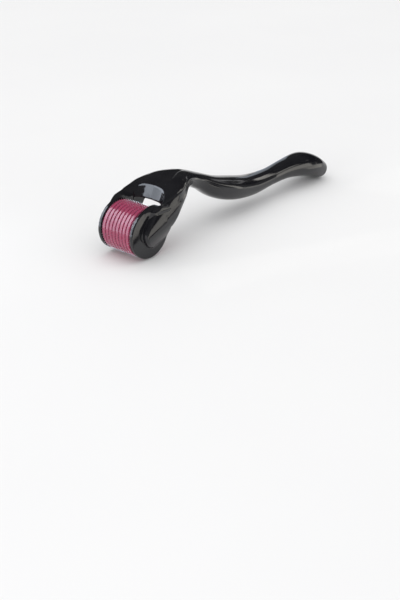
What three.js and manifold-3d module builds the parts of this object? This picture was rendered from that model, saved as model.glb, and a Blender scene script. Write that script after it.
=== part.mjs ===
// Derma roller: an S-curved handle whose fork carries a free-rolling drum of nine needle discs.
// Millimetres, +Z up, +X from the head to the tail, +Y to the left of the handle.
// The model is drawn about the drum's axis and then lifted onto its resting plane.
import * as THREE from "three";
import { mergeVertices } from "three/addons/utils/BufferGeometryUtils.js";
import Module from "manifold-3d";

// Head
const EAR_RADIUS = 11;
const EAR_INNER_FACE = 8.5;
const EAR_OUTER_FACE = 10.15;
const ARM_OUTER_FACE = 13.2;
const RAMP_START_HEIGHT = -6.6;
const RAMP_ANGLE = THREE.MathUtils.degToRad(20);
const BRIDGE_WALL_SIDE = 10.8;
const BRIDGE_WALL_MIDDLE = 13.2;
const LANE_SETBACK = 1.5;
const CUT_MARGIN = 0.4;
const CUT_OVERRUN = 5;
const CUT_BOTTOM = -30;
const CUT_HEIGHT = 70;
const EAR_ARC_STEPS = 40;

// Drum
const NEEDLE_TIP_RADIUS = 11.5;
const NEEDLE_CLEARANCE = 0.8;
const NEEDLES_PER_DISC = 60;
const NEEDLE_BASE_WIDTH = 0.3;
const DISC_COUNT = 9;
const DISC_PITCH = 1.95;
const DISC_THICKNESS = 0.2;
const DISC_RIM_RADIUS = 10.4;
const SPACER_EDGE_RADIUS = 10.5;
const SPACER_CROWN_RADIUS = 10.9;
const STACK_GAP = 0.02;
const END_CAP_THICKNESS = 0.3;
const END_CAP_RADIUS = 10.4;

// Axle
const CORE_KEY_RADIUS = 4;
const KEY_CLEARANCE = 0.06;
const PIN_RADIUS = 1.5;
const PIN_CLEARANCE = 0.06;
const PIN_HALF_LENGTH = 11.2;
const SOCKET_RADIUS = 1.7;
const SOCKET_DEPTH_FACE = 11.45;

// Handle centreline and section half sizes, from the fork's bridge to the tail
const HANDLE_STATIONS = [
  { x: 8.0, z: 9.4, halfThickness: 3.2, halfWidth: 13.0 },
  { x: 13.5, z: 12.3, halfThickness: 3.5, halfWidth: 13.0 },
  { x: 20.0, z: 14.8, halfThickness: 4.1, halfWidth: 11.2 },
  { x: 26.0, z: 15.2, halfThickness: 3.7, halfWidth: 8.6 },
  { x: 32.0, z: 14.1, halfThickness: 3.55, halfWidth: 6.0 },
  { x: 40.3, z: 10.7, halfThickness: 3.55, halfWidth: 4.9 },
  { x: 51.2, z: 4.8, halfThickness: 4.95, halfWidth: 6.6 },
  { x: 63.0, z: 0.9, halfThickness: 5.45, halfWidth: 7.3 },
  { x: 77.0, z: -1.6, halfThickness: 4.75, halfWidth: 6.3 },
  { x: 92.0, z: -1.6, halfThickness: 3.8, halfWidth: 5.1 },
  { x: 104.5, z: -1.0, halfThickness: 4.3, halfWidth: 5.7 },
  { x: 117.5, z: -1.9, halfThickness: 5.7, halfWidth: 7.7 },
  { x: 124.5, z: -4.1, halfThickness: 5.6, halfWidth: 7.7 },
  { x: 129.6, z: -6.65, halfThickness: 4.7, halfWidth: 7.0 },
];
const TAIL_END_LENGTH = 3.6;
const TAIL_END_DROP = 2.4;
const SECTION_ROUNDNESS = 2.3;
const SECTION_SIDES = 24;
const STEPS_PER_STATION = 3;
const TAIL_END_STEPS = 5;

const ROUND_SIDES = 36;
const PIN_SIDES = 20;
const RESTING_HEIGHT = NEEDLE_TIP_RADIUS;
const CENTRE_OFFSET = 60.94;

const wasm = await Module();
wasm.setup();

const BLACK_PLASTIC = { color: 0x0c0c0e, roughness: 0.12, metalness: 0 };
const MAGENTA_PLASTIC = { color: 0xb0386c, roughness: 0.25, metalness: 0 };
const DARK_PLASTIC = { color: 0x3a2830, roughness: 0.4, metalness: 0 };
const STEEL = { color: 0xb9bcc2, roughness: 0.3, metalness: 1 };

function toSolid(geometry) {
  const bare = geometry.clone();
  bare.deleteAttribute("normal");
  bare.deleteAttribute("uv");
  const merged = mergeVertices(bare, 1e-4);
  return new wasm.Manifold(new wasm.Mesh({
    numProp: 3,
    vertProperties: new Float32Array(merged.attributes.position.array),
    triVerts: new Uint32Array(merged.index.array),
  }));
}

function toGeometry(solid) {
  const mesh = solid.getMesh();
  const geometry = new THREE.BufferGeometry();
  geometry.setAttribute("position", new THREE.BufferAttribute(mesh.vertProperties, 3));
  geometry.setIndex(new THREE.BufferAttribute(mesh.triVerts, 1));
  return geometry;
}

function namedMesh(name, geometry, finish) {
  geometry.computeVertexNormals();
  const mesh = new THREE.Mesh(geometry, new THREE.MeshStandardMaterial(finish));
  mesh.name = name;
  return mesh;
}

// Extrudes an outline drawn in X and Z across the handle, from yLow to yHigh.
function plateAcross(shape, yLow, yHigh) {
  const geometry = new THREE.ExtrudeGeometry(shape, { depth: yHigh - yLow, bevelEnabled: false });
  geometry.rotateX(Math.PI / 2);
  geometry.translate(0, yHigh, 0);
  return geometry;
}

// Extrudes an outline drawn in X and Y upwards, from zLow to zHigh.
function plateUpwards(shape, zLow, zHigh) {
  const geometry = new THREE.ExtrudeGeometry(shape, { depth: zHigh - zLow, bevelEnabled: false });
  geometry.translate(0, 0, zLow);
  return geometry;
}

// Joins rings of equal point counts into one closed skin with a fan at each end.
function skinRings(rings) {
  const sides = rings[0].length;
  const positions = rings.flat().flatMap((point) => [point.x, point.y, point.z]);
  const index = [];
  for (let ring = 0; ring + 1 < rings.length; ring += 1) {
    for (let side = 0; side < sides; side += 1) {
      const next = (side + 1) % sides;
      const a = ring * sides + side;
      const b = ring * sides + next;
      index.push(a, b, a + sides, b, b + sides, a + sides);
    }
  }
  const lastRing = (rings.length - 1) * sides;
  for (let side = 1; side + 1 < sides; side += 1) {
    index.push(0, side + 1, side);
    index.push(lastRing, lastRing + side, lastRing + side + 1);
  }
  const geometry = new THREE.BufferGeometry();
  geometry.setAttribute("position", new THREE.Float32BufferAttribute(positions, 3));
  geometry.setIndex(index);
  return geometry;
}

// One rounded section of the handle, square to the centreline.
function sectionRing(centre, tangent, halfWidth, halfThickness) {
  const across = new THREE.Vector3(0, 1, 0);
  const upwards = new THREE.Vector3().crossVectors(tangent, across).normalize();
  const power = 2 / SECTION_ROUNDNESS;
  const ring = [];
  for (let side = 0; side < SECTION_SIDES; side += 1) {
    const angle = (side / SECTION_SIDES) * 2 * Math.PI;
    const cos = Math.cos(angle);
    const sin = Math.sin(angle);
    const sideways = Math.sign(cos) * Math.abs(cos) ** power * halfWidth;
    const height = Math.sign(sin) * Math.abs(sin) ** power * halfThickness;
    ring.push(centre.clone().addScaledVector(across, sideways).addScaledVector(upwards, height));
  }
  return ring;
}

function gripAndNeck() {
  const centreline = new THREE.CatmullRomCurve3(
    HANDLE_STATIONS.map(({ x, z }) => new THREE.Vector3(x, 0, z)),
  );
  const halfSizes = new THREE.CatmullRomCurve3(
    HANDLE_STATIONS.map(({ halfWidth, halfThickness }) => new THREE.Vector3(halfWidth, halfThickness, 0)),
  );
  const rings = [];
  const steps = (HANDLE_STATIONS.length - 1) * STEPS_PER_STATION;
  for (let step = 0; step <= steps; step += 1) {
    const along = step / steps;
    const size = halfSizes.getPoint(along);
    rings.push(sectionRing(centreline.getPoint(along), centreline.getTangent(along), size.x, size.y));
  }
  const end = centreline.getPoint(1);
  const tangent = centreline.getTangent(1);
  const endSize = halfSizes.getPoint(1);
  for (let step = 1; step <= TAIL_END_STEPS; step += 1) {
    const angle = (step / (TAIL_END_STEPS + 0.4)) * (Math.PI / 2);
    const shrink = Math.cos(angle);
    const centre = end.clone().addScaledVector(tangent, TAIL_END_LENGTH * Math.sin(angle));
    centre.z -= TAIL_END_DROP * (1 - shrink);
    rings.push(sectionRing(centre, tangent, endSize.x * shrink, endSize.y * shrink));
  }
  return toSolid(skinRings(rings));
}

function smoothThrough(points, steps) {
  return new THREE.SplineCurve(points.map(([x, y]) => new THREE.Vector2(x, y))).getPoints(steps);
}

function arcPoints(radius, fromAngle, toAngle, clockwise, steps) {
  return new THREE.EllipseCurve(0, 0, radius, radius, fromAngle, toAngle, clockwise).getPoints(steps);
}

// Side outline, in X and Z, of an arm: the round ear, and the blade that sweeps up to the bridge.
function armOutline() {
  const earTop = THREE.MathUtils.degToRad(78);
  const earRear = THREE.MathUtils.degToRad(4);
  const ear = arcPoints(EAR_RADIUS, earRear, earTop, true, EAR_ARC_STEPS);
  const front = smoothThrough([
    [EAR_RADIUS * Math.cos(earTop), EAR_RADIUS * Math.sin(earTop)],
    [4.6, 12.7], [8.7, 14.3], [14.5, 15.6], [21.5, 16.4], [25, 16.1],
  ], 14);
  const rear = smoothThrough([
    [25, 15], [20, 11], [16, 6.4], [12.6, 2.1],
    [EAR_RADIUS * Math.cos(earRear), EAR_RADIUS * Math.sin(earRear)],
  ], 12);
  return new THREE.Shape([...ear, ...front.slice(1), ...rear.slice(0, -1)]);
}

// Plan outline, in X and Y, that the arms flare out to.
function flareOutline() {
  const left = smoothThrough([
    [9, ARM_OUTER_FACE], [15, ARM_OUTER_FACE - 0.1], [20, 11.8], [25, 9], [30, 6.6],
  ], 12);
  const right = left.map((point) => new THREE.Vector2(point.x, -point.y)).reverse();
  const front = -2 * EAR_RADIUS;
  return new THREE.Shape([
    new THREE.Vector2(front, ARM_OUTER_FACE),
    ...left,
    ...right,
    new THREE.Vector2(front, -ARM_OUTER_FACE),
  ]);
}

// The lane between the ears, with room round the needle tips for the drum to turn.
function drumLane() {
  const sweptRadius = NEEDLE_TIP_RADIUS + NEEDLE_CLEARANCE;
  const sweep = new THREE.CylinderGeometry(sweptRadius, sweptRadius, 2 * EAR_INNER_FACE, ROUND_SIDES);
  const laneLength = 3 * EAR_RADIUS;
  const lane = new THREE.BoxGeometry(laneLength, 2 * EAR_INNER_FACE, CUT_HEIGHT);
  lane.translate(BRIDGE_WALL_SIDE - LANE_SETBACK - laneLength / 2, 0, 0);
  return toSolid(lane).add(toSolid(sweep));
}

// Above the ears the opening widens forwards like a funnel, from the bridge wall to the lips of the arms.
function funnel() {
  const side = ARM_OUTER_FACE + CUT_MARGIN;
  const left = smoothThrough([
    [BRIDGE_WALL_MIDDLE, 0], [12.3, 4.5], [BRIDGE_WALL_SIDE, 7.6], [8, 10.4], [5.2, 12.3], [3, side],
  ], 14);
  const right = left.slice(1).map((point) => new THREE.Vector2(point.x, -point.y)).reverse();
  const front = -2 * EAR_RADIUS;
  const shape = new THREE.Shape([
    ...right,
    ...left,
    new THREE.Vector2(front, side),
    new THREE.Vector2(front, -side),
  ]);
  const ears = new THREE.CylinderGeometry(EAR_RADIUS, EAR_RADIUS, 3 * side, ROUND_SIDES);
  return toSolid(plateUpwards(shape, 0, CUT_HEIGHT)).subtract(toSolid(ears));
}

// Side outline, in X and Z, of the pocket that leaves the ear's flat disc standing before the arm.
function swirlPocket() {
  const swirl = smoothThrough([
    [2.2, 14], [1.4, 10.6], [-0.3, 7.8], [-2.4, 5.1], [-4.3, 2.9],
    [-5, 0.6], [-4.5, -1.8], [-3, -4.4], [-0.6, -6.6], [3, -8.4],
  ], 22);
  const front = -1.5 * EAR_RADIUS;
  return new THREE.Shape([
    ...swirl,
    new THREE.Vector2(3, front),
    new THREE.Vector2(front, front),
    new THREE.Vector2(front, 14),
  ]);
}

// Profile, in Y and Z, of the ramp that lets the swirl fade into the ear's disc at the bottom.
function rampCut() {
  const beyond = ARM_OUTER_FACE + CUT_OVERRUN;
  const step = ARM_OUTER_FACE + CUT_MARGIN - EAR_OUTER_FACE;
  const rampTop = RAMP_START_HEIGHT + step / Math.tan(RAMP_ANGLE);
  const shape = new THREE.Shape([
    new THREE.Vector2(EAR_OUTER_FACE, CUT_BOTTOM),
    new THREE.Vector2(beyond, CUT_BOTTOM),
    new THREE.Vector2(beyond, rampTop),
    new THREE.Vector2(EAR_OUTER_FACE + step, rampTop),
    new THREE.Vector2(EAR_OUTER_FACE, RAMP_START_HEIGHT),
  ]);
  const geometry = new THREE.ExtrudeGeometry(shape, { depth: CUT_HEIGHT, bevelEnabled: false });
  geometry.rotateX(Math.PI / 2);
  geometry.rotateZ(Math.PI / 2);
  geometry.translate(-2 * EAR_RADIUS, 0, 0);
  return toSolid(geometry);
}

function handle() {
  const leftArm = toSolid(plateAcross(armOutline(), EAR_INNER_FACE, ARM_OUTER_FACE));
  const arms = leftArm.add(leftArm.mirror([0, 1, 0]));
  const flare = toSolid(plateUpwards(flareOutline(), CUT_BOTTOM, CUT_BOTTOM + CUT_HEIGHT));
  const socket = new THREE.CylinderGeometry(SOCKET_RADIUS, SOCKET_RADIUS, 2 * SOCKET_DEPTH_FACE, PIN_SIDES);
  const pocket = toSolid(plateAcross(swirlPocket(), EAR_OUTER_FACE, ARM_OUTER_FACE + CUT_OVERRUN));
  const leftCuts = pocket.add(rampCut());
  const body = gripAndNeck()
    .add(arms.intersect(flare))
    .subtract(drumLane())
    .subtract(funnel())
    .subtract(leftCuts)
    .subtract(leftCuts.mirror([0, 1, 0]))
    .subtract(toSolid(socket));
  return namedMesh("handle", toGeometry(body), BLACK_PLASTIC);
}

// Hexagonal key, the shape that stops the discs and spacers from turning on the core.
function hexagon(radius) {
  const corners = [];
  for (let corner = 0; corner < 6; corner += 1) {
    const angle = (corner * Math.PI) / 3;
    corners.push(new THREE.Vector2(radius * Math.cos(angle), radius * Math.sin(angle)));
  }
  return corners;
}

function keyedBore() {
  return new THREE.Path(hexagon(CORE_KEY_RADIUS + KEY_CLEARANCE));
}

function onCircle(radius, angle) {
  return new THREE.Vector2(radius * Math.cos(angle), radius * Math.sin(angle));
}

function needleDisc(number) {
  const outline = [];
  const halfBase = NEEDLE_BASE_WIDTH / 2 / DISC_RIM_RADIUS;
  for (let needle = 0; needle < NEEDLES_PER_DISC; needle += 1) {
    const angle = (needle / NEEDLES_PER_DISC) * 2 * Math.PI;
    outline.push(
      onCircle(DISC_RIM_RADIUS, angle - halfBase),
      onCircle(NEEDLE_TIP_RADIUS, angle),
      onCircle(DISC_RIM_RADIUS, angle + halfBase),
    );
  }
  const shape = new THREE.Shape(outline);
  shape.holes.push(keyedBore());
  const geometry = plateAcross(shape, -DISC_THICKNESS / 2, DISC_THICKNESS / 2);
  return namedMesh(`needle_disc_${number}`, geometry, STEEL);
}

// A ring with a crowned rim: widest at mid-thickness, and a little lower where it meets the discs.
function spacerRing(number) {
  const halfThickness = (DISC_PITCH - DISC_THICKNESS) / 2 - STACK_GAP;
  const boreRadius = CORE_KEY_RADIUS + KEY_CLEARANCE;
  const profile = [
    new THREE.Vector2(boreRadius, -halfThickness),
    new THREE.Vector2(SPACER_EDGE_RADIUS, -halfThickness),
    new THREE.Vector2(SPACER_CROWN_RADIUS, 0),
    new THREE.Vector2(SPACER_EDGE_RADIUS, halfThickness),
    new THREE.Vector2(boreRadius, halfThickness),
    new THREE.Vector2(boreRadius, -halfThickness),
  ];
  const geometry = new THREE.LatheGeometry(profile, ROUND_SIDES);
  return namedMesh(`spacer_ring_${number}`, geometry, MAGENTA_PLASTIC);
}

function endCap(name) {
  const shape = new THREE.Shape(arcPoints(END_CAP_RADIUS, 0, 2 * Math.PI, false, ROUND_SIDES).slice(1));
  shape.holes.push(keyedBore());
  const geometry = plateAcross(shape, -END_CAP_THICKNESS / 2, END_CAP_THICKNESS / 2);
  return namedMesh(name, geometry, MAGENTA_PLASTIC);
}

function drumCore(halfLength) {
  const shape = new THREE.Shape(hexagon(CORE_KEY_RADIUS));
  const bore = arcPoints(PIN_RADIUS + PIN_CLEARANCE, 0, 2 * Math.PI, false, PIN_SIDES).slice(1);
  shape.holes.push(new THREE.Path(bore));
  return namedMesh("drum_core", plateAcross(shape, -halfLength, halfLength), DARK_PLASTIC);
}

function axlePin() {
  const geometry = new THREE.CylinderGeometry(PIN_RADIUS, PIN_RADIUS, 2 * PIN_HALF_LENGTH, PIN_SIDES);
  return namedMesh("axle_pin", geometry, STEEL);
}

function drum() {
  const group = new THREE.Group();
  const firstDisc = -(DISC_COUNT - 1) / 2 * DISC_PITCH;
  for (let number = 1; number <= DISC_COUNT; number += 1) {
    const disc = needleDisc(number);
    disc.position.y = firstDisc + (number - 1) * DISC_PITCH;
    group.add(disc);
  }
  for (let number = 1; number < DISC_COUNT; number += 1) {
    const ring = spacerRing(number);
    ring.position.y = firstDisc + (number - 0.5) * DISC_PITCH;
    group.add(ring);
  }
  const capPlace = -firstDisc + DISC_THICKNESS / 2 + STACK_GAP + END_CAP_THICKNESS / 2;
  const leftCap = endCap("left_end_cap");
  leftCap.position.y = capPlace;
  const rightCap = endCap("right_end_cap");
  rightCap.position.y = -capPlace;
  group.add(leftCap, rightCap, drumCore(capPlace + END_CAP_THICKNESS / 2), axlePin());
  return group;
}

const dermaRoller = new THREE.Group();
dermaRoller.add(handle(), drum());
dermaRoller.position.set(-CENTRE_OFFSET, 0, RESTING_HEIGHT);
dermaRoller.updateMatrixWorld(true);

export default dermaRoller;
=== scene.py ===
import math

import bmesh
import bpy
import numpy as np
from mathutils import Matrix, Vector


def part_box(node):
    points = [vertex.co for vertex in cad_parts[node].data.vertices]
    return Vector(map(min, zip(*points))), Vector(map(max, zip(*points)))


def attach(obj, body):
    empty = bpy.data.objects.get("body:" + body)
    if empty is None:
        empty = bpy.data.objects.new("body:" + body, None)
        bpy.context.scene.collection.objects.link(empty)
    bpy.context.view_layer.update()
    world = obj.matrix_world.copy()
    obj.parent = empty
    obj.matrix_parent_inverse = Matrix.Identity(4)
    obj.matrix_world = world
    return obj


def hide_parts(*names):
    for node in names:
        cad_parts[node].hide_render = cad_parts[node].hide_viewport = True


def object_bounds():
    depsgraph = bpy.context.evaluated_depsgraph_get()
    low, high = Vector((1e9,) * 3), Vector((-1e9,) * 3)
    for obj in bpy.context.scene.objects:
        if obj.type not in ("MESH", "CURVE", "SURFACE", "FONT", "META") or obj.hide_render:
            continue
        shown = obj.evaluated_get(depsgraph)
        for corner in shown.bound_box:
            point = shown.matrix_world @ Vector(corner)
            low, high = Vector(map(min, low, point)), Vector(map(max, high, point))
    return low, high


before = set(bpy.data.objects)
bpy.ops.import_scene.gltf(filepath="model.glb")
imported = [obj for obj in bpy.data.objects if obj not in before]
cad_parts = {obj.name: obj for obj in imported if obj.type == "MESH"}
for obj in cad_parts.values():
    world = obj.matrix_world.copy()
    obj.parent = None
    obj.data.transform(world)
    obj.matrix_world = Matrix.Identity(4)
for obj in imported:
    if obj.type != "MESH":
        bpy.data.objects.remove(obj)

CAD_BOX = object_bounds()

# ---------------------------------------------------------------- driving dimensions, in millimetres
# The handle is drawn about the drum's axis, X towards the tail and Z up, and then moved to the row frame.
PIN_LOW, PIN_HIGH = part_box("axle_pin")
AXIS = (PIN_LOW + PIN_HIGH) / 2
MM = 0.001

EAR_RADIUS = 11.0
EAR_INNER_FACE = 8.5
EAR_OUTER_FACE = 10.15
EAR_EDGE_RADIUS = 0.35
ARM_OUTER_FACE = 13.15
FACE_EDGE_RADIUS = 0.3
SOCKET_RADIUS = 1.7
SOCKET_DEPTH_FACE = 11.45

# The arm's outer face stands this far out from the ear's disc at the axle, and falls away down and backwards.
# The cosine is that of its slope, and makes the distance to the sloping face true.
RAMP_RISE = 3.2
RAMP_SLOPE_UP = 0.38
RAMP_SLOPE_BACK = 0.084
RAMP_BLEND = 1.2
RAMP_COSINE = 0.94
# The face is crowned across this direction in X and Z, measured from a point ahead of the axle
CROWN_ACROSS = (-0.61, 0.79)
CROWN_START = 2.0
CROWN_EDGE_FADE = (0, 3)
FACE_CROWN = 0.014
ARM_EDGE_RADIUS = 0.5
ARM_TOP_EDGE_RADIUS = 2.2
ARM_TOP_EDGE_FADE = (4, 11)
LIP_FILLET = 1.3
BLADE_EDGE_RADIUS = 0.35
# The blades thicken inwards by this much between these places along X, and so run into the neck
BLADE_CLOSING = 7.0
BLADE_CLOSES = (17, 24)

NECK_TOP_FILLET = 1.0
NECK_FILLET = 4.0
NECK_FILLET_FADE = (1, 4)
SCOOP_DEPTH = 1.7
SCOOP_WIDE = 8.6
SCOOP_NARROW = 1.6
SCOOP_NARROWS = (15, 29)
SCOOP_STARTS = (12, 17)
SCOOP_ENDS = (22, 32)
SCOOP_FLAT_SHARE = 0.3
SCOOP_FADE = (-1, 2)

# The ear's rim rises, and its disc flares outwards in a collar, where it meets the arm at the top
RIM_RISE = 1.3
RIM_RISES = (-4.5, 3.5)
RIM_HEIGHTS = (6, 10)
RIM_FILLET = 2.2
COLLAR_START = -3.6
COLLAR_LENGTH = 6.0
COLLAR_SLOPE = 0.41
COLLAR_HEIGHTS = (6.5, 10.5)

LANE_FRONT = 9.3
LANE_RADIUS = 12.3
LANE_EDGE_RADIUS = 0.25
WALL_TILT = math.tan(math.radians(22))
WALL_TOP = 15.6
WALL_EDGE_RADIUS = 0.6
BRIDGE_UNDERSIDE = 9.7
BRIDGE_UNDERSIDE_BACK = 17.0
BRIDGE_EDGE_RADIUS = 0.5

# x, z, half thickness and half width of the handle's sections, from the fork's bridge to the tail
HANDLE_STATIONS = [
    (8.0, 9.4, 3.2, 11.4),
    (13.5, 12.3, 3.5, 11.8),
    (20.0, 14.8, 4.1, 10.9),
    (26.0, 15.2, 3.7, 8.5),
    (32.0, 14.1, 3.55, 6.0),
    (40.3, 10.7, 3.55, 4.9),
    (51.2, 4.8, 4.95, 6.6),
    (63.0, 0.9, 5.45, 7.3),
    (77.0, -1.6, 4.75, 6.3),
    (92.0, -1.6, 3.8, 5.1),
    (104.5, -1.0, 4.3, 5.7),
    (117.5, -1.9, 5.7, 7.7),
    (124.5, -4.1, 5.6, 7.7),
    (129.6, -6.65, 4.7, 7.0),
]
TAIL_END_LENGTH = 3.6
TAIL_END_DROP = 2.4
SECTION_ROUNDNESS = 2.25

EAR_ARC = (4, -282)
EAR_ARC_STEPS = 90
OUTLINE_STEPS = 6
FAR = 40.0
# The arm's edges, the flare and the funnel in plan, and the swirl: all points for smooth curves
ARM_FRONT_EDGE = [
    (2.29, 10.76), (4.6, 12.6), (8.7, 14.5), (14.5, 15.9),
    (21.5, 16.6), (27.0, 16.3), (32.0, 14.9), (40.0, 11.4),
]
ARM_REAR_EDGE = [
    (40.0, 9.7), (35.5, 11.8), (31.5, 12.9), (28.0, 13.1), (24.6, 12.5),
    (20.9, 10.6), (16.3, 6.2), (12.9, 1.9), (10.97, 0.0),
]
FLARE_EDGE = [
    (-30.0, 13.2), (2.0, 13.2), (9.0, 13.2), (15.0, 13.1),
    (20.0, 11.8), (25.0, 9.0), (30.0, 6.6), (40.0, 4.6),
]
FUNNEL_EDGE = [
    (13.2, 0.0), (12.7, 4.5), (11.5, 7.6), (8.7, 10.5), (6.2, 12.4), (4.2, 13.3), (2.0, 14.2),
]
SWIRL_EDGE = [
    (4.6, 14.5), (1.9, 10.7), (-0.3, 7.8), (-2.4, 5.1), (-4.3, 2.9),
    (-5.0, 0.6), (-4.5, -1.8), (-3.0, -4.4), (-0.6, -6.6), (3.0, -8.4),
]

NEEDLE_TIP_RADIUS = 11.5
NEEDLES_PER_DISC = 60
DISC_COUNT = 9
DISC_PITCH = 1.95
DISC_THICKNESS = 0.2
DISC_RIM_RADIUS = 10.4
SPACER_EDGE_RADIUS = 10.62
SPACER_CROWN_RADIUS = 10.9
SPACER_CROWN_DROP = 0.02
SPACER_SHOULDER_POWER = 14
SPACER_SHOULDER = 0.12
SPACER_BEVEL = 0.1
SPACER_RIM_INSET = 0.02
SPACER_RIM_POINTS = 17
SPACER_SIDES = 144
DISC_RIM_BEVEL = (0.03, 0.04)
DISC_SIDES = 120
# Height above the disc's rim, then half the needle's breadth around the disc and across it
NEEDLE_LEVELS = ((-0.1, 0.10, 0.08), (0.35, 0.075, 0.065))
NEEDLE_TIP_GAP = 0.005
STACK_GAP = 0.02
BORE_RADIUS = 4.06

# The handle's surface is worked out on a grid of this step, and the head's costly part only up to HEAD_END
GRID_STEP = 0.45
GRID_MARGIN = 1.0
GRID_BOTTOM = -12.2
GRID_TOP = 20.2
GRID_END = 134.5
SLAB_LAYERS = 24
HEAD_END = 44
SURFACE_ROUNDS = 2
DIFFERENCE_STEP = 0.02
TABLE_STEP = 0.1
TABLE_SMOOTHING = 1.6
TABLE_SMOOTHING_STEPS = 60
STATION_STEPS = 40
NEAREST_ROUNDS = 8


# ---------------------------------------------------------------- curves and distances
def spline_through(points, steps):
    """A Catmull-Rom curve through the points, with that many steps between neighbours."""
    points = np.asarray(points, float)
    padded = np.vstack([points[:1], points, points[-1:]])
    t = np.linspace(0, 1, steps, endpoint=False)[:, None]
    spans = []
    for i in range(len(points) - 1):
        p0, p1, p2, p3 = padded[i:i + 4]
        spans.append(0.5 * (
            2 * p1 + (p2 - p0) * t
            + (2 * p0 - 5 * p1 + 4 * p2 - p3) * t ** 2
            + (3 * p1 - p0 - 3 * p2 + p3) * t ** 3
        ))
    spans.append(points[-1:])
    return np.vstack(spans)


def arc_points(radius, start, end, steps):
    angles = np.radians(np.linspace(start, end, steps))
    return np.column_stack([radius * np.cos(angles), radius * np.sin(angles)])


def outline_distance(u, v, outline):
    """Signed distance to a closed outline in two dimensions, negative inside."""
    nearest = np.full(np.broadcast(u, v).shape, np.inf)
    inside = np.zeros(nearest.shape, bool)
    for (ax, ay), (bx, by) in zip(outline, np.roll(outline, -1, axis=0)):
        ex, ey = bx - ax, by - ay
        px, py = u - ax, v - ay
        along = np.clip((px * ex + py * ey) / (ex * ex + ey * ey), 0, 1)
        nearest = np.minimum(nearest, (px - along * ex) ** 2 + (py - along * ey) ** 2)
        if ey != 0:
            inside ^= ((ay > v) != (by > v)) & (u < ax + (v - ay) * ex / ey)
    return np.where(inside, -1, 1) * np.sqrt(nearest)


def meet(a, b, radius):
    """What is inside both, with the outer edge between them rounded."""
    corner = np.hypot(np.maximum(a + radius, 0), np.maximum(b + radius, 0))
    return np.minimum(np.maximum(a, b), -radius) + corner


def join(a, b, radius):
    """What is inside either, with the inner corner between them filleted."""
    return -meet(-a, -b, radius)


def smooth(value, start, end):
    t = np.clip((value - start) / (end - start), 0, 1)
    return t * t * (3 - 2 * t)


def soft_min(a, b, blend):
    h = np.clip(0.5 + 0.5 * (b - a) / blend, 0, 1)
    return b + (a - b) * h - blend * h * (1 - h)


# ---------------------------------------------------------------- the handle as a distance field
def smooth_table(stations):
    """The stations' values against X on a fine even table, with the spline's kinks smoothed away."""
    curve = spline_through(stations, STATION_STEPS)
    x = np.arange(stations[0][0], stations[-1][0] + TABLE_STEP / 2, TABLE_STEP)
    reach = TABLE_SMOOTHING_STEPS
    kernel = np.exp(-0.5 * (np.arange(-reach, reach + 1) * TABLE_STEP / TABLE_SMOOTHING) ** 2)
    kernel /= kernel.sum()
    columns = []
    for column in curve.T[1:]:
        values = np.interp(x, curve[:, 0], column)
        before = 2 * values[0] - values[reach:0:-1]
        after = 2 * values[-1] - values[-2:-reach - 2:-1]
        columns.append(np.convolve(np.concatenate([before, values, after]), kernel, "valid"))
    return x, columns


TABLE_X, (TABLE_Z, TABLE_THICKNESS, TABLE_WIDTH) = smooth_table(HANDLE_STATIONS)
TABLE_SLOPE = np.gradient(TABLE_Z, TABLE_X)
FLARE_X, (FLARE_Y,) = smooth_table(FLARE_EDGE)

ARM_OUTLINE = np.vstack([
    arc_points(EAR_RADIUS, *EAR_ARC, EAR_ARC_STEPS),
    spline_through(ARM_FRONT_EDGE, OUTLINE_STEPS)[1:],
    spline_through(ARM_REAR_EDGE, OUTLINE_STEPS)[:-1],
])
FUNNEL_OUTLINE = np.vstack([
    [(-FAR, -FAR / 2), (FUNNEL_EDGE[0][0], -FAR / 2)],
    spline_through(FUNNEL_EDGE, OUTLINE_STEPS),
    [(-FAR, FUNNEL_EDGE[-1][1])],
])
SWIRL_OUTLINE = np.vstack([
    spline_through(SWIRL_EDGE, OUTLINE_STEPS),
    [(SWIRL_EDGE[-1][0], -FAR), (-FAR, -FAR), (-FAR, 14.0)],
])


def grip_field(x, y, z):
    """The lofted neck, grip and tail."""
    s = np.clip(x, TABLE_X[0], TABLE_X[-1]) + 0 * z
    for _ in range(NEAREST_ROUNDS):
        slope = np.interp(s, TABLE_X, TABLE_SLOPE)
        off = (x - s) + (z - np.interp(s, TABLE_X, TABLE_Z)) * slope
        s = np.clip(s + off / (1 + slope * slope), TABLE_X[0], TABLE_X[-1])
    slope = np.interp(s, TABLE_X, TABLE_SLOPE)
    length = np.sqrt(1 + slope * slope)
    dx, dz = x - s, z - np.interp(s, TABLE_X, TABLE_Z)
    advance = (dx + dz * slope) / length
    height = (dz - dx * slope) / length
    beyond = np.where(s >= TABLE_X[-1] - 1e-9, np.maximum(advance, 0), 0) / TAIL_END_LENGTH
    shrink = np.sqrt(np.maximum(1 - beyond ** 2, 1e-4))
    height = height + TAIL_END_DROP * (1 - shrink)
    thickness = np.interp(s, TABLE_X, TABLE_THICKNESS)
    width = np.interp(s, TABLE_X, TABLE_WIDTH)
    a, b = np.abs(height) / thickness, np.abs(y) / width
    k = SECTION_ROUNDNESS
    around = np.maximum(a ** k + b ** k, 1e-6) ** (1 / k)
    norm = np.sqrt(around ** 2 + beyond ** 2)
    across = around ** (2 - k) / norm
    gradient = np.sqrt(
        (a ** (k - 1) / thickness * across) ** 2
        + (b ** (k - 1) / width * across) ** 2
        + (beyond / TAIL_END_LENGTH / norm) ** 2
    )
    field = (norm - 1) / np.maximum(gradient, 0.06)
    start = np.where(s <= TABLE_X[0] + 1e-9, -advance, -50)
    return np.maximum(field, start)


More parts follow.
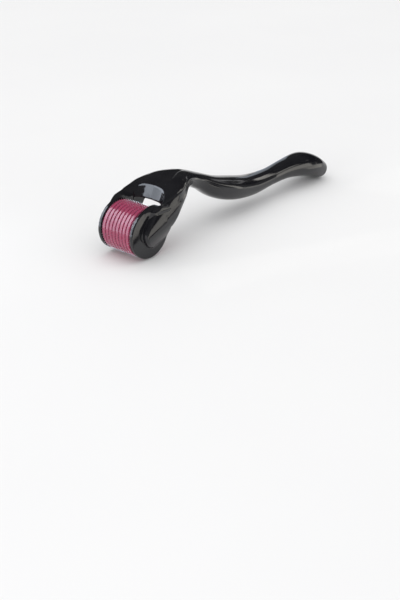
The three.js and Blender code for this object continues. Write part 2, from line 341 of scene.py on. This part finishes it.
def arm_field(x, side, z):
    """The two blades that sweep up from the ears, outside the swirl."""
    ramp = EAR_OUTER_FACE + RAMP_RISE + RAMP_SLOPE_UP * z - RAMP_SLOPE_BACK * x
    across = CROWN_ACROSS[1] * z + CROWN_ACROSS[0] * (x - CROWN_START)
    outer = soft_min(np.interp(x, FLARE_X, FLARE_Y), ramp, RAMP_BLEND) - FACE_CROWN * across ** 2
    top = smooth(across, *CROWN_EDGE_FADE) * smooth(x, *ARM_TOP_EDGE_FADE)
    edge = ARM_EDGE_RADIUS + (ARM_TOP_EDGE_RADIUS - ARM_EDGE_RADIUS) * top
    blade = meet(outline_distance(x, z, ARM_OUTLINE), RAMP_COSINE * (side - outer), edge)
    inner = EAR_INNER_FACE - BLADE_CLOSING * smooth(x, *BLADE_CLOSES)
    blade = meet(blade, inner - side, BLADE_EDGE_RADIUS)
    swirl = outline_distance(x, z, SWIRL_OUTLINE)
    return meet(blade, -swirl, LIP_FILLET)


def scoop_depth(x, side):
    """How deep the shallow dish behind the window is."""
    reach = SCOOP_WIDE - (SCOOP_WIDE - SCOOP_NARROW) * smooth(x, *SCOOP_NARROWS)
    along = smooth(x, *SCOOP_STARTS) * (1 - smooth(x, *SCOOP_ENDS))
    return SCOOP_DEPTH * along * (1 - smooth(side / reach, SCOOP_FLAT_SHARE, 1))


def underside_cut(x, side, z):
    """The space below the bridge, between the arms."""
    return np.maximum(np.maximum(side - EAR_INNER_FACE, z - BRIDGE_UNDERSIDE), x - BRIDGE_UNDERSIDE_BACK)


def funnel_cut(x, side, z, radius):
    """The opening above the ears, with the bridge's tilted wall at its back."""
    funnel = outline_distance(x - WALL_TILT * (z - WALL_TOP), side, FUNNEL_OUTLINE)
    return np.maximum(np.maximum(funnel, EAR_RADIUS - radius), -z)


def ear_field(x, side, z, radius):
    """The round ears, with their raised rim and flared collar at the top."""
    collar = COLLAR_SLOPE * np.clip(x - COLLAR_START, 0, COLLAR_LENGTH) * smooth(z, *COLLAR_HEIGHTS)
    rim = EAR_RADIUS + RIM_RISE * smooth(x, *RIM_RISES) * smooth(z, *RIM_HEIGHTS)
    return meet(radius - rim, side - EAR_OUTER_FACE - collar, EAR_EDGE_RADIUS)


def handle_field(x, y, z):
    """The whole handle: grip, arms and ears joined, then the window, the lane and the sockets cut out."""
    side = np.abs(y)
    body = grip_field(x, y, z)
    if np.min(x) > HEAD_END:
        return body
    height = z - np.interp(x, TABLE_X, TABLE_Z)
    below = smooth(-height, *NECK_FILLET_FADE)
    body = join(body, arm_field(x, side, z), NECK_TOP_FILLET + (NECK_FILLET - NECK_TOP_FILLET) * below)
    body = body + scoop_depth(x, side) * smooth(height, *SCOOP_FADE)
    radius = np.hypot(x, z)
    body = meet(body, -underside_cut(x, side, z), BRIDGE_EDGE_RADIUS)
    body = meet(body, -funnel_cut(x, side, z, radius), WALL_EDGE_RADIUS)
    rim_fillet = EAR_EDGE_RADIUS + (RIM_FILLET - EAR_EDGE_RADIUS) * smooth(z, *RIM_HEIGHTS)
    body = join(body, ear_field(x, side, z, radius), rim_fillet)
    lane = np.maximum(side - EAR_INNER_FACE, np.minimum(x - LANE_FRONT, radius - LANE_RADIUS))
    body = meet(body, -lane, LANE_EDGE_RADIUS)
    socket = np.maximum(radius - SOCKET_RADIUS, side - SOCKET_DEPTH_FACE)
    body = meet(body, side - ARM_OUTER_FACE, FACE_EDGE_RADIUS)
    return np.maximum(body, -socket)


# ---------------------------------------------------------------- the field's surface as a mesh
def split_by_head(field, points):
    """The field at loose points, with the head's costly part worked out only where the head is."""
    values = np.empty(len(points))
    head = points[:, 0] < HEAD_END + 1
    for part in (head, ~head):
        if part.any():
            values[part] = field(*points[part].T)
    return values


def gradient_at(field, points):
    """The field and its gradient at loose points, by central differences."""
    slopes = np.empty(points.shape)
    for axis in range(3):
        shift = np.zeros(3)
        shift[axis] = DIFFERENCE_STEP
        rise = split_by_head(field, points + shift) - split_by_head(field, points - shift)
        slopes[:, axis] = rise / (2 * DIFFERENCE_STEP)
    return split_by_head(field, points), slopes


def surface_net(field, low, high, step):
    """Vertices near the field's zero surface, one to each grid cell it crosses, and quads between them."""
    axes = [np.arange(a, b + step, step) for a, b in zip(low, high)]
    slabs = []
    for chunk in np.array_split(axes[0], max(1, len(axes[0]) // SLAB_LAYERS)):
        slab = field(chunk[:, None, None], axes[1][None, :, None], axes[2][None, None, :])
        slabs.append(np.broadcast_to(slab, (len(chunk), len(axes[1]), len(axes[2]))).astype(np.float32))
    values = np.concatenate(slabs)
    solid = values < 0
    shape = tuple(n - 1 for n in values.shape)
    corners = [(i, j, k) for i in (0, 1) for j in (0, 1) for k in (0, 1)]

    def at(array, corner):
        return array[tuple(slice(c, c + n) for c, n in zip(corner, shape))]

    count = sum(at(solid, c).astype(np.int8) for c in corners)
    crossed = (count > 0) & (count < 8)
    number = np.full(shape, -1)
    number[crossed] = np.arange(crossed.sum())
    cells = np.argwhere(crossed).astype(float)
    total = np.zeros(cells.shape)
    hits = np.zeros(len(cells))
    for c in corners:
        for axis in range(3):
            if c[axis]:
                continue
            d = tuple(1 if n == axis else c[n] for n in range(3))
            a, b = at(values, c)[crossed], at(values, d)[crossed]
            cut = (a < 0) != (b < 0)
            point = np.tile(np.array(c, float), (len(cells), 1))
            point[:, axis] += np.where(cut, a / np.where(cut, a - b, 1), 0)
            total[cut] += point[cut]
            hits += cut
    vertices = (cells + total / hits[:, None]) * step + np.array(low)
    quads = []
    for axis in range(3):
        one, two = [n for n in range(3) if n != axis]
        along = [slice(None)] * 3
        ahead = [slice(None)] * 3
        along[axis], ahead[axis] = slice(0, -1), slice(1, None)
        here, there = solid[tuple(along)], solid[tuple(ahead)]
        edges = np.argwhere(here != there)
        for side in (one, two):
            edges = edges[(edges[:, side] > 0) & (edges[:, side] < shape[side])]
        ring = []
        for da, db in ((1, 1), (0, 1), (0, 0), (1, 0)):
            cell = edges.copy()
            cell[:, one] -= da
            cell[:, two] -= db
            ring.append(number[tuple(cell.T)])
        ring = np.column_stack(ring)
        out = here[tuple(edges.T)]
        if axis == 1:
            out = ~out
        ring[~out] = ring[~out][:, ::-1]
        quads.append(ring)
    return vertices, np.vstack(quads)


def place(points):
    """From millimetres about the drum's axis to the row frame."""
    return np.asarray(points, float) * MM + np.array(AXIS)


def object_from(name, vertices, faces):
    mesh = bpy.data.meshes.new(name)
    mesh.from_pydata(vertices.tolist(), [], faces.tolist() if hasattr(faces, "tolist") else faces)
    mesh.validate()
    mesh.polygons.foreach_set("use_smooth", [True] * len(mesh.polygons))
    piece = bpy.data.objects.new(name, mesh)
    bpy.context.scene.collection.objects.link(piece)
    return piece


def build_handle():
    low = (-EAR_RADIUS - GRID_MARGIN, -ARM_OUTER_FACE - GRID_MARGIN, GRID_BOTTOM)
    high = (GRID_END, ARM_OUTER_FACE + GRID_MARGIN, GRID_TOP)
    vertices, quads = surface_net(handle_field, low, high, GRID_STEP)
    for _ in range(SURFACE_ROUNDS):
        value, slope = gradient_at(handle_field, vertices)
        step = value / np.maximum((slope ** 2).sum(1), 0.2)
        step = np.clip(step, -0.5 * GRID_STEP, 0.5 * GRID_STEP)
        vertices = vertices - slope * step[:, None]
    _, slope = gradient_at(handle_field, vertices)
    normals = slope / np.linalg.norm(slope, axis=1)[:, None]
    piece = object_from("handle_shell", place(vertices), quads)
    piece.data.normals_split_custom_set_from_vertices(normals.tolist())
    return piece


# ---------------------------------------------------------------- the drum's pieces
def lathe(name, profile, centre_y, sides):
    """Turns a closed profile of (y, radius) points about the drum's axis."""
    angles = np.linspace(0, 2 * np.pi, sides, endpoint=False)
    profile = np.asarray(profile, float)
    rings = len(profile)
    vertices = np.array([
        (radius * math.cos(angle), centre_y + y, radius * math.sin(angle))
        for angle in angles
        for y, radius in profile
    ])
    faces = []
    for side in range(sides):
        after = (side + 1) % sides
        for ring in range(rings):
            over = (ring + 1) % rings
            here, there = side * rings, after * rings
            faces.append((here + ring, here + over, there + over, there + ring))
    return object_from(name, place(vertices), faces)


def spacer_profile():
    """Crowned rim with rounded shoulders, and small bevels at the bore."""
    half = (DISC_PITCH - DISC_THICKNESS) / 2 - STACK_GAP
    rim = []
    for t in np.linspace(-1, 1, SPACER_RIM_POINTS):
        shoulder = SPACER_CROWN_RADIUS - SPACER_EDGE_RADIUS - SPACER_CROWN_DROP
        drop = SPACER_CROWN_DROP * t * t + shoulder * abs(t) ** SPACER_SHOULDER_POWER
        rim.append((t * (half - SPACER_RIM_INSET), SPACER_CROWN_RADIUS - drop))
    side = [
        (half, SPACER_EDGE_RADIUS - SPACER_SHOULDER),
        (half, BORE_RADIUS + SPACER_BEVEL),
        (half - SPACER_BEVEL, BORE_RADIUS),
    ]
    return rim + side + [(-y, radius) for y, radius in reversed(side)]


def build_spacer(number, centre_y):
    return lathe(f"spacer_band_{number}", spacer_profile(), centre_y, SPACER_SIDES)


def disc_profile():
    """A flat washer with a small bevel on both edges of its rim."""
    half = DISC_THICKNESS / 2
    inward, down = DISC_RIM_BEVEL
    return [
        (-half, BORE_RADIUS), (-half, DISC_RIM_RADIUS - down), (-half + inward, DISC_RIM_RADIUS),
        (half - inward, DISC_RIM_RADIUS), (half, DISC_RIM_RADIUS - down), (half, BORE_RADIUS),
    ]


def add_needle(bm, angle, centre_y):
    """A square shank that narrows to a point."""
    outward = np.array([math.cos(angle), 0, math.sin(angle)])
    around = np.array([-math.sin(angle), 0, math.cos(angle)])
    across = np.array([0.0, 1.0, 0.0])
    levels = []
    for height, breadth, depth in NEEDLE_LEVELS:
        centre = outward * (DISC_RIM_RADIUS + height)
        corners = []
        for u, v in ((1, 1), (-1, 1), (-1, -1), (1, -1)):
            point = centre + around * u * breadth + across * (centre_y + v * depth)
            corners.append(bm.verts.new(place(point)))
        levels.append(corners)
    tip = bm.verts.new(place(outward * (NEEDLE_TIP_RADIUS - NEEDLE_TIP_GAP) + across * centre_y))
    base, waist = levels
    bm.faces.new(base[::-1])
    for i in range(4):
        j = (i + 1) % 4
        bm.faces.new((base[i], base[j], waist[j], waist[i]))
        bm.faces.new((waist[i], waist[j], tip))


def build_disc(number, centre_y):
    """A thin steel washer with its ring of needles."""
    piece = lathe(f"steel_disc_{number}", disc_profile(), centre_y, DISC_SIDES)
    bm = bmesh.new()
    bm.from_mesh(piece.data)
    for needle in range(NEEDLES_PER_DISC):
        add_needle(bm, 2 * math.pi * needle / NEEDLES_PER_DISC, centre_y)
    bmesh.ops.recalc_face_normals(bm, faces=bm.faces)
    bm.to_mesh(piece.data)
    bm.free()
    piece.data.polygons.foreach_set("use_smooth", [False] * len(piece.data.polygons))
    return piece


# ---------------------------------------------------------------- materials
def new_material(name):
    material = bpy.data.materials.new(name)
    material.use_nodes = True
    tree = material.node_tree
    return material, tree, tree.nodes["Principled BSDF"]


def add(tree, kind, **settings):
    node = tree.nodes.new(kind)
    for name, value in settings.items():
        setattr(node, name, value)
    return node


def noise_at(tree, scale, detail=3.0):
    coordinates = add(tree, "ShaderNodeTexCoord")
    noise = add(tree, "ShaderNodeTexNoise")
    noise.inputs["Scale"].default_value = scale
    noise.inputs["Detail"].default_value = detail
    tree.links.new(coordinates.outputs["Object"], noise.inputs["Vector"])
    return noise.outputs["Fac"]


# A noise value wanders mostly between these two
NOISE_LOW = 0.3
NOISE_HIGH = 0.7


def ramp_between(tree, factor, low, high):
    ramp = add(tree, "ShaderNodeValToRGB")
    ramp.color_ramp.elements[0].position = NOISE_LOW
    ramp.color_ramp.elements[1].position = NOISE_HIGH
    ramp.color_ramp.elements[0].color = (*low, 1)
    ramp.color_ramp.elements[1].color = (*high, 1)
    tree.links.new(factor, ramp.inputs["Fac"])
    return ramp.outputs["Color"]


def range_between(tree, factor, low, high):
    span = add(tree, "ShaderNodeMapRange")
    span.inputs["From Min"].default_value = NOISE_LOW
    span.inputs["From Max"].default_value = NOISE_HIGH
    span.inputs["To Min"].default_value = low
    span.inputs["To Max"].default_value = high
    tree.links.new(factor, span.inputs["Value"])
    return span.outputs["Result"]


def bump_from(tree, shader, height, strength, distance):
    bump = add(tree, "ShaderNodeBump")
    bump.inputs["Strength"].default_value = strength
    bump.inputs["Distance"].default_value = distance
    tree.links.new(height, bump.inputs["Height"])
    tree.links.new(bump.outputs["Normal"], shader.inputs["Normal"])


def mottle(tree, shader, scale, low, high):
    """A base colour that wanders between two tones."""
    colour = ramp_between(tree, noise_at(tree, scale), low, high)
    tree.links.new(colour, shader.inputs["Base Color"])


def vary_gloss(tree, shader, scale, low, high, detail=3.0):
    """A roughness that wanders between two values."""
    roughness = range_between(tree, noise_at(tree, scale, detail), low, high)
    tree.links.new(roughness, shader.inputs["Roughness"])


def handle_plastic():
    """Glossy black moulded plastic: a faint ripple in the gloss, and a very slight change of tone."""
    material, tree, shader = new_material("gloss_black_plastic")
    mottle(tree, shader, 90, (0.008, 0.008, 0.010), (0.013, 0.013, 0.015))
    vary_gloss(tree, shader, 350, 0.07, 0.13)
    shader.inputs["IOR"].default_value = 1.5
    bump_from(tree, shader, noise_at(tree, 420, 1.0), 0.02, 0.0002)
    return material


def spacer_plastic():
    """Clear magenta plastic: deep colour with some light passing through it."""
    material, tree, shader = new_material("translucent_magenta_plastic")
    mottle(tree, shader, 160, (0.28, 0.046, 0.098), (0.33, 0.058, 0.118))
    vary_gloss(tree, shader, 500, 0.09, 0.16)
    shader.inputs["Subsurface Weight"].default_value = 0.35
    shader.inputs["Subsurface Radius"].default_value = (1.0, 0.35, 0.5)
    shader.inputs["Subsurface Scale"].default_value = 0.0012
    shader.inputs["IOR"].default_value = 1.5
    bump_from(tree, shader, noise_at(tree, 600, 1.0), 0.03, 0.0002)
    return material


def core_plastic():
    """Matt plastic with a fine grain."""
    material, tree, shader = new_material("matte_core_plastic")
    mottle(tree, shader, 200, (0.050, 0.030, 0.038), (0.075, 0.045, 0.055))
    vary_gloss(tree, shader, 700, 0.45, 0.6)
    bump_from(tree, shader, noise_at(tree, 900, 2.0), 0.08, 0.0003)
    return material


def steel(name, low, high):
    """Stainless steel, finely uneven in tone, gloss and height. Low and high are its roughness."""
    material, tree, shader = new_material(name)
    shader.inputs["Metallic"].default_value = 1.0
    mottle(tree, shader, 300, (0.50, 0.50, 0.52), (0.66, 0.66, 0.68))
    vary_gloss(tree, shader, 900, low, high, 4.0)
    bump_from(tree, shader, noise_at(tree, 2500, 2.0), 0.1, 0.0001)
    return material


def floor_material():
    """A matt pale floor, nearly even in tone."""
    material, tree, shader = new_material("pale_floor")
    mottle(tree, shader, 6, (0.83, 0.83, 0.835), (0.85, 0.85, 0.852))
    shader.inputs["Roughness"].default_value = 0.9
    shader.inputs["Specular IOR Level"].default_value = 0.1
    return material


def dress(piece, material):
    piece.data.materials.clear()
    piece.data.materials.append(material)


# ---------------------------------------------------------------- camera, light and floor
# The picture is taken from over the drum's front right, with the drum's axis as the fixed point
CAMERA_AZIMUTH = math.radians(-48.5)
CAMERA_ELEVATION = math.radians(25.6)
CAMERA_FROM_AXIS = Vector((-0.33944, -0.33833, 0.19518))
CAMERA_LENS = 72.6
CAMERA_SENSOR = 36


def build_camera():
    back = Vector((
        math.sin(CAMERA_AZIMUTH) * math.cos(CAMERA_ELEVATION),
        -math.cos(CAMERA_AZIMUTH) * math.cos(CAMERA_ELEVATION),
        math.sin(CAMERA_ELEVATION),
    ))
    data = bpy.data.cameras.new("camera")
    data.lens = CAMERA_LENS
    data.sensor_width = CAMERA_SENSOR
    data.clip_start = 0.01
    data.clip_end = 20
    camera = bpy.data.objects.new("camera", data)
    camera.rotation_mode = "QUATERNION"
    camera.rotation_quaternion = (-back).to_track_quat("-Z", "Y")
    camera.location = AXIS + CAMERA_FROM_AXIS
    bpy.context.scene.collection.objects.link(camera)
    bpy.context.scene.camera = camera


def smooth_step(tree, value, start, end):
    step = add(tree, "ShaderNodeMapRange", interpolation_type="SMOOTHSTEP")
    step.inputs["From Min"].default_value = start
    step.inputs["From Max"].default_value = end
    tree.links.new(value, step.inputs["Value"])
    return step.outputs["Result"]


def arithmetic(tree, operation, *values):
    node = add(tree, "ShaderNodeMath", operation=operation)
    for socket, value in zip(node.inputs, values):
        if isinstance(value, (int, float)):
            socket.default_value = value
        else:
            tree.links.new(value, socket)
    return node.outputs[0]


def window(tree, value, low, high, edge):
    """1 between low and high, fading to 0 over edge on both sides."""
    rise = smooth_step(tree, value, low - edge, low + edge)
    fall = smooth_step(tree, value, high + edge, high - edge)
    return arithmetic(tree, "MULTIPLY", rise, fall)


# azimuth from +X towards +Y and elevation, in degrees: low, high, low, high; soft edge; strength; colour
SOFTBOXES = [
    ((-46, 8), (27, 38), 2.0, 2.6, (1.0, 0.97, 0.90)),
    ((20, 100), (-10, 6), 4.0, 0.9, (1.0, 1.0, 1.0)),
    ((-16, 14), (20.0, 22.5), 1.0, 1.1, (1.0, 1.0, 1.0)),
]
# The studio's dim walls, which fade to the dark ceiling and leave one sector of azimuth dark
SURROUND = 0.15
DARK_CEILING = 0.03
WALLS_FADE = (50, 20)
DARK_SECTOR = (-22, 100)
DARK_SECTOR_EDGE = 6
DOME = 0.95
PALE_GREY = (0.90, 0.90, 0.905, 1)


def sky_angles(tree):
    """Azimuth and elevation, in degrees, of the direction that a ray looks in."""
    coordinates = add(tree, "ShaderNodeTexCoord")
    split = add(tree, "ShaderNodeSeparateXYZ")
    tree.links.new(coordinates.outputs["Generated"], split.inputs[0])
    to_degrees = 180 / math.pi
    azimuth = arithmetic(tree, "ARCTAN2", split.outputs[1], split.outputs[0])
    azimuth = arithmetic(tree, "MULTIPLY", azimuth, to_degrees)
    elevation = arithmetic(tree, "ARCSINE", split.outputs[2])
    elevation = arithmetic(tree, "MULTIPLY", elevation, to_degrees)
    return azimuth, elevation


def studio_walls(tree, azimuth, elevation):
    low_sky = smooth_step(tree, elevation, *WALLS_FADE)
    away = arithmetic(tree, "SUBTRACT", 1.0, window(tree, azimuth, *DARK_SECTOR, DARK_SECTOR_EDGE))
    lit = arithmetic(tree, "MULTIPLY", low_sky, away)
    level = arithmetic(tree, "MULTIPLY", lit, SURROUND - DARK_CEILING)
    level = arithmetic(tree, "ADD", level, DARK_CEILING)
    grey = add(tree, "ShaderNodeCombineXYZ")
    for channel in grey.inputs:
        tree.links.new(level, channel)
    return grey.outputs[0]


def with_softbox(tree, colour, azimuth, elevation, softbox):
    (left, right), (bottom, top), edge, strength, tint = softbox
    across = window(tree, azimuth, left, right, edge)
    upwards = window(tree, elevation, bottom, top, edge)
    mask = arithmetic(tree, "MULTIPLY", arithmetic(tree, "MULTIPLY", across, upwards), strength)
    panel = add(tree, "ShaderNodeVectorMath", operation="SCALE")
    panel.inputs[0].default_value = tint
    tree.links.new(mask, panel.inputs["Scale"])
    both = add(tree, "ShaderNodeVectorMath", operation="ADD")
    tree.links.new(colour, both.inputs[0])
    tree.links.new(panel.outputs[0], both.inputs[1])
    return both.outputs[0]


def mix_colours(tree, factor):
    """A colour mix, and its sockets: what shows at factor 0, at factor 1, and the result."""
    mix = add(tree, "ShaderNodeMix", data_type="RGBA")
    tree.links.new(factor, mix.inputs["Factor"])
    return mix.inputs[6], mix.inputs[7], mix.outputs[2]


def build_world():
    """Gloss sees a studio of soft panels, the camera sees plain pale grey, and all else an even dome."""
    world = bpy.data.worlds.new("studio")
    bpy.context.scene.world = world
    world.use_nodes = True
    tree = world.node_tree
    azimuth, elevation = sky_angles(tree)
    studio = studio_walls(tree, azimuth, elevation)
    for softbox in SOFTBOXES:
        studio = with_softbox(tree, studio, azimuth, elevation, softbox)
    path = add(tree, "ShaderNodeLightPath")
    dome, gloss, light = mix_colours(tree, path.outputs["Is Glossy Ray"])
    dome.default_value = (DOME, DOME, DOME, 1)
    tree.links.new(studio, gloss)
    unseen, seen, result = mix_colours(tree, path.outputs["Is Camera Ray"])
    tree.links.new(light, unseen)
    seen.default_value = PALE_GREY
    tree.links.new(result, tree.nodes["Background"].inputs["Color"])


def reflection_card(name, corners, strength, colour):
    """A flat studio card that shows only in gloss. Corners are in millimetres about the drum's axis."""
    card = object_from(name, place(corners), [tuple(range(len(corners)))])
    material = bpy.data.materials.new(name)
    material.use_nodes = True
    tree = material.node_tree
    tree.nodes.clear()
    glow = add(tree, "ShaderNodeEmission")
    glow.inputs["Color"].default_value = (*colour, 1)
    glow.inputs["Strength"].default_value = strength
    output = add(tree, "ShaderNodeOutputMaterial")
    tree.links.new(glow.outputs[0], output.inputs["Surface"])
    dress(card, material)
    card.visible_camera = False
    card.visible_diffuse = False
    card.visible_transmission = False
    card.visible_shadow = False


COOL = (0.92, 1.0, 1.12)
WARM = (1.0, 0.97, 0.90)
BLACK = (0.0, 0.0, 0.0)
# Cards near the floor stand this far above it, and lie over one another in thin steps
GROUND = -AXIS.z / MM + 0.3
LEFT_CARD_DISTANCE = 85
LEFT_CARD_AZIMUTHS = (98, 152)
LEFT_CARD_SPLIT = 34
LEFT_CARD_TOP = 106


def on_floor(points, lift=0.0):
    return [(x, y, GROUND + lift) for x, y in points]


def upright(left, right, bottom, top):
    return [(*left, bottom), (*right, bottom), (*right, top), (*left, top)]


def left_card(bottom, top):
    """An upright card to the left of the drum and ahead of it, flat between the two azimuths."""
    ends = []
    for azimuth in LEFT_CARD_AZIMUTHS:
        angle = math.radians(azimuth)
        ends.append((LEFT_CARD_DISTANCE * math.cos(angle), LEFT_CARD_DISTANCE * math.sin(angle)))
    return upright(*ends, bottom, top)


def build_left_cards():
    """The light zone on the drum: a lower card and a brighter one above it."""
    reflection_card("card_left_low", left_card(GROUND, LEFT_CARD_SPLIT), 3.4, COOL)
    reflection_card("card_left_high", left_card(LEFT_CARD_SPLIT, LEFT_CARD_TOP), 5.2, COOL)


def build_floor_cards():
    """Light the near arm from below, between a thin dark line and the dark floor beyond."""
    arm = [(0, -25.6), (100, -69.7), (100, -97), (19, -60), (-10, -52)]
    line = [(-2, -22), (100, -66.5), (100, -69.7), (0, -25.6)]
    dark = [(-40, -52), (19, -60), (100, -97), (140, -112), (900, -1100), (-400, -700)]
    reflection_card("card_floor_arm", on_floor(arm), 1.65, WARM)
    reflection_card("card_floor_line", on_floor(line, 0.2), 0.0, BLACK)
    reflection_card("card_floor_dark", on_floor(dark, 0.4), 0.0, BLACK)


def build_tail_cards():
    """Light the tail's near side from below, and keep what is above it dark."""
    floor = [(126, -22), (150, -19), (175, -26), (300, -60), (300, -90), (150, -80), (136, -48)]
    reflection_card("card_floor_tail", on_floor(floor), 1.9, WARM)
    reflection_card("card_tail", upright((150, -80), (190, -88), GROUND, 42), 2.6, WARM)
    reflection_card("card_tail_end", upright((160, -33), (195, -53), GROUND, 8), 2.6, WARM)
    reflection_card("card_tail_dark", upright((130, -26), (215, -60), 16, 70), 0.0, BLACK)
    reflection_card("card_tail_dark_end", upright((160, -40), (160, 24), 14, 40), 0.0, BLACK)
    reflection_card("card_tail_back", upright((106, 20), (130, 21), GROUND, 16), 0.75, COOL)


def area_light(name, position, target, size, power):
    """A soft lamp that only lights: neither gloss nor the camera sees it."""
    data = bpy.data.lights.new(name, "AREA")
    data.shape = "RECTANGLE"
    data.size, data.size_y = size
    data.energy = power
    light = bpy.data.objects.new(name, data)
    light.location = position
    light.rotation_mode = "QUATERNION"
    light.rotation_quaternion = (Vector(target) - Vector(position)).to_track_quat("-Z", "Y")
    light.visible_glossy = False
    light.visible_camera = False
    bpy.context.scene.collection.objects.link(light)


def build_lights():
    middle = (CAD_BOX[0] + CAD_BOX[1]) / 2
    area_light("overhead", middle + Vector((0.1, 0.2, 1.2)), middle, (1.2, 1.2), 2.6)
    area_light("front_fill", middle + Vector((-0.9, -0.1, 0.15)), middle, (0.5, 0.3), 2.2)


FLOOR_RADIUS = 4.0
FLOOR_SIDES = 96
FLOOR_GAP = 0.00002


def build_floor():
    bm = bmesh.new()
    bmesh.ops.create_circle(bm, cap_ends=True, radius=FLOOR_RADIUS, segments=FLOOR_SIDES)
    mesh = bpy.data.meshes.new("floor")
    bm.to_mesh(mesh)
    bm.free()
    floor = bpy.data.objects.new("floor", mesh)
    floor.location.z = CAD_BOX[0].z - FLOOR_GAP
    bpy.context.scene.collection.objects.link(floor)
    dress(floor, floor_material())


# ---------------------------------------------------------------- assembly
def assemble():
    plastic = handle_plastic()
    magenta = spacer_plastic()
    disc_steel = steel("needle_steel", 0.22, 0.34)
    pin_steel = steel("pin_steel", 0.26, 0.40)

    shell = build_handle()
    dress(shell, plastic)
    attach(shell, "handle")
    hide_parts("handle")

    first = -(DISC_COUNT - 1) / 2 * DISC_PITCH
    for number in range(1, DISC_COUNT + 1):
        disc = build_disc(number, first + (number - 1) * DISC_PITCH)
        dress(disc, disc_steel)
        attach(disc, "drum")
        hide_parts(f"needle_disc_{number}")
    for number in range(1, DISC_COUNT):
        band = build_spacer(number, first + (number - 0.5) * DISC_PITCH)
        dress(band, magenta)
        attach(band, "drum")
        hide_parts(f"spacer_ring_{number}")

    dress(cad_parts["left_end_cap"], magenta)
    dress(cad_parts["right_end_cap"], magenta)
    dress(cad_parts["drum_core"], core_plastic())
    dress(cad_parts["axle_pin"], pin_steel)


build_camera()
build_world()
build_lights()
build_left_cards()
build_floor_cards()
build_tail_cards()
build_floor()
assemble()
bpy.context.scene.view_settings.view_transform = "Standard"
